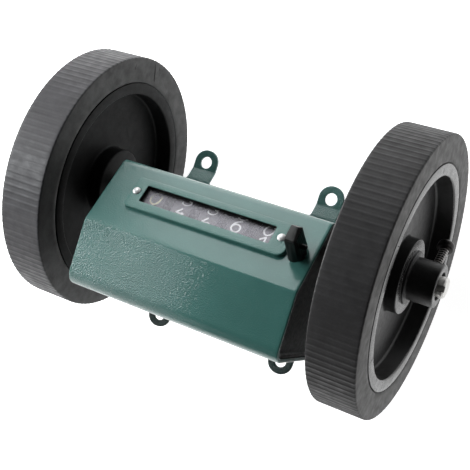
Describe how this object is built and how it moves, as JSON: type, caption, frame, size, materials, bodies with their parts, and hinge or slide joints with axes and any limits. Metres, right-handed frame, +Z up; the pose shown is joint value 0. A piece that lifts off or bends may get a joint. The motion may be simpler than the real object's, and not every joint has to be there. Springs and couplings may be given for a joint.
{
  "type": "length counter",
  "caption": "Roller length counter: green sheet-steel housing with a window and reset knob, on one axle between two ribbed rubber-tyred wheels.",
  "frame": {"origin": "centre of the four ear holes, on the mounting plane under the ears", "axes": "+X along the axle towards the reset knob, +Y across the ears from the plain front wall to the window side, +Z up from the mounting plane"},
  "size_m": [0.152, 0.0956, 0.0956],
  "materials": {
    "green_paint": "wrinkled satin green paint",
    "black_paint": "satin black paint",
    "black_plastic": "moulded black plastic, fine mould texture",
    "tyre_rubber": "ribbed dark grey rubber",
    "bare_steel": "plain zinc-plated steel",
    "axle_steel": "bright nickel-plated steel",
    "bright_rivet": "bright plated",
    "bronze": "sintered bronze",
    "brass_gear": "cut brass",
    "white_nylon": "natural nylon",
    "drum_plastic": "satin black moulding with printed pale numbers",
    "clear_pane": "clear plastic sheet",
    "black_oxide": "black oxide",
    "knob_plastic": "satin black moulding"
  },
  "bodies": {
    "housing": {"cover": "green_paint", "base_plate": "green_paint", "left_end_plate": "black_paint", "right_end_plate": "black_paint", "base_screws": "bare_steel", "cover_screws": "bare_steel", "frame_screws": "bare_steel", "bezel_plate": "green_paint", "bezel_rivets": "bright_rivet", "window_pane": "clear_pane", "left_bush": "bronze", "right_bush": "bronze", "counter_frame": "bare_steel", "counter_shaft": "bare_steel", "pinion_shaft": "bare_steel"},
    "wheels": {"axle": "axle_steel", "left_wheel_core": "black_plastic", "right_wheel_core": "black_plastic", "left_tyre": "tyre_rubber", "right_tyre": "tyre_rubber", "left_set_screw": "black_oxide", "right_set_screw": "black_oxide", "drive_gear": "brass_gear", "axle_clips": "black_oxide"},
    "reduction": {"intermediate_shaft": "bare_steel", "intermediate_gear": "white_nylon", "intermediate_pinion": "white_nylon"},
    "units": {"units_wheel": "drum_plastic"},
    "tens": {"tens_wheel": "drum_plastic"},
    "hundreds": {"hundreds_wheel": "drum_plastic"},
    "thousands": {"thousands_wheel": "drum_plastic"},
    "top": {"top_wheel": "drum_plastic"},
    "transfer_1": {"transfer_pinion_1": "drum_plastic"},
    "transfer_2": {"transfer_pinion_2": "drum_plastic"},
    "transfer_3": {"transfer_pinion_3": "drum_plastic"},
    "transfer_4": {"transfer_pinion_4": "drum_plastic"},
    "reset": {"reset_knob": "knob_plastic", "knob_screw": "black_oxide", "reset_spindle": "bare_steel", "spindle_clip": "black_oxide"},
    "comb": {"reset_comb": "bare_steel", "comb_spring": "bare_steel"}
  },
  "joints": [
    {"name": "axle_spin", "type": "hinge", "parent": "housing", "child": "wheels", "pos_m": [0, 0.013, 0.0162], "axis": [1, 0, 0], "continuous": true},
    {"name": "intermediate_spin", "type": "hinge", "parent": "housing", "child": "reduction", "pos_m": [0, 0.00374, 0.02925], "axis": [1, 0, 0], "continuous": true},
    {"name": "units_spin", "type": "hinge", "parent": "housing", "child": "units", "pos_m": [0, 0.00713, 0.03997], "axis": [1, 0, 0], "continuous": true},
    {"name": "tens_spin", "type": "hinge", "parent": "housing", "child": "tens", "pos_m": [0, 0.00713, 0.03997], "axis": [1, 0, 0], "continuous": true},
    {"name": "hundreds_spin", "type": "hinge", "parent": "housing", "child": "hundreds", "pos_m": [0, 0.00713, 0.03997], "axis": [1, 0, 0], "continuous": true},
    {"name": "thousands_spin", "type": "hinge", "parent": "housing", "child": "thousands", "pos_m": [0, 0.00713, 0.03997], "axis": [1, 0, 0], "continuous": true},
    {"name": "top_spin", "type": "hinge", "parent": "housing", "child": "top", "pos_m": [0, 0.00713, 0.03997], "axis": [1, 0, 0], "continuous": true},
    {"name": "transfer_1_spin", "type": "hinge", "parent": "housing", "child": "transfer_1", "pos_m": [0, -0.00234, 0.03652], "axis": [1, 0, 0], "continuous": true},
    {"name": "transfer_2_spin", "type": "hinge", "parent": "housing", "child": "transfer_2", "pos_m": [0, -0.00234, 0.03652], "axis": [1, 0, 0], "continuous": true},
    {"name": "transfer_3_spin", "type": "hinge", "parent": "housing", "child": "transfer_3", "pos_m": [0, -0.00234, 0.03652], "axis": [1, 0, 0], "continuous": true},
    {"name": "transfer_4_spin", "type": "hinge", "parent": "housing", "child": "transfer_4", "pos_m": [0, -0.00234, 0.03652], "axis": [1, 0, 0], "continuous": true},
    {"name": "knob_turn", "type": "hinge", "parent": "housing", "child": "reset", "pos_m": [0.038, 0.01021, 0.05081], "axis": [0, 0.5075, 0.8616], "range_deg": [0, 90], "stiffness_Nm_per_rad": 0.004},
    {"name": "comb_swing", "type": "hinge", "parent": "housing", "child": "comb", "pos_m": [0, -0.0047, 0.046], "axis": [1, 0, 0], "range_deg": [-11.5, 0]}
  ],
  "couplings": [
    {"joint": "intermediate_spin", "follows": "axle_spin", "ratio": -0.6},
    {"joint": "units_spin", "follows": "axle_spin", "ratio": 0.3},
    {"joint": "tens_spin", "follows": "axle_spin", "ratio": 0.03},
    {"joint": "hundreds_spin", "follows": "axle_spin", "ratio": 0.003},
    {"joint": "thousands_spin", "follows": "axle_spin", "ratio": 0.0003},
    {"joint": "top_spin", "follows": "axle_spin", "ratio": 0.00003},
    {"joint": "transfer_1_spin", "follows": "axle_spin", "ratio": -0.075},
    {"joint": "transfer_2_spin", "follows": "axle_spin", "ratio": -0.0075},
    {"joint": "transfer_3_spin", "follows": "axle_spin", "ratio": -0.00075},
    {"joint": "transfer_4_spin", "follows": "axle_spin", "ratio": -0.000075},
    {"joint": "comb_swing", "follows": "knob_turn", "ratio": -0.12778}
  ]
}
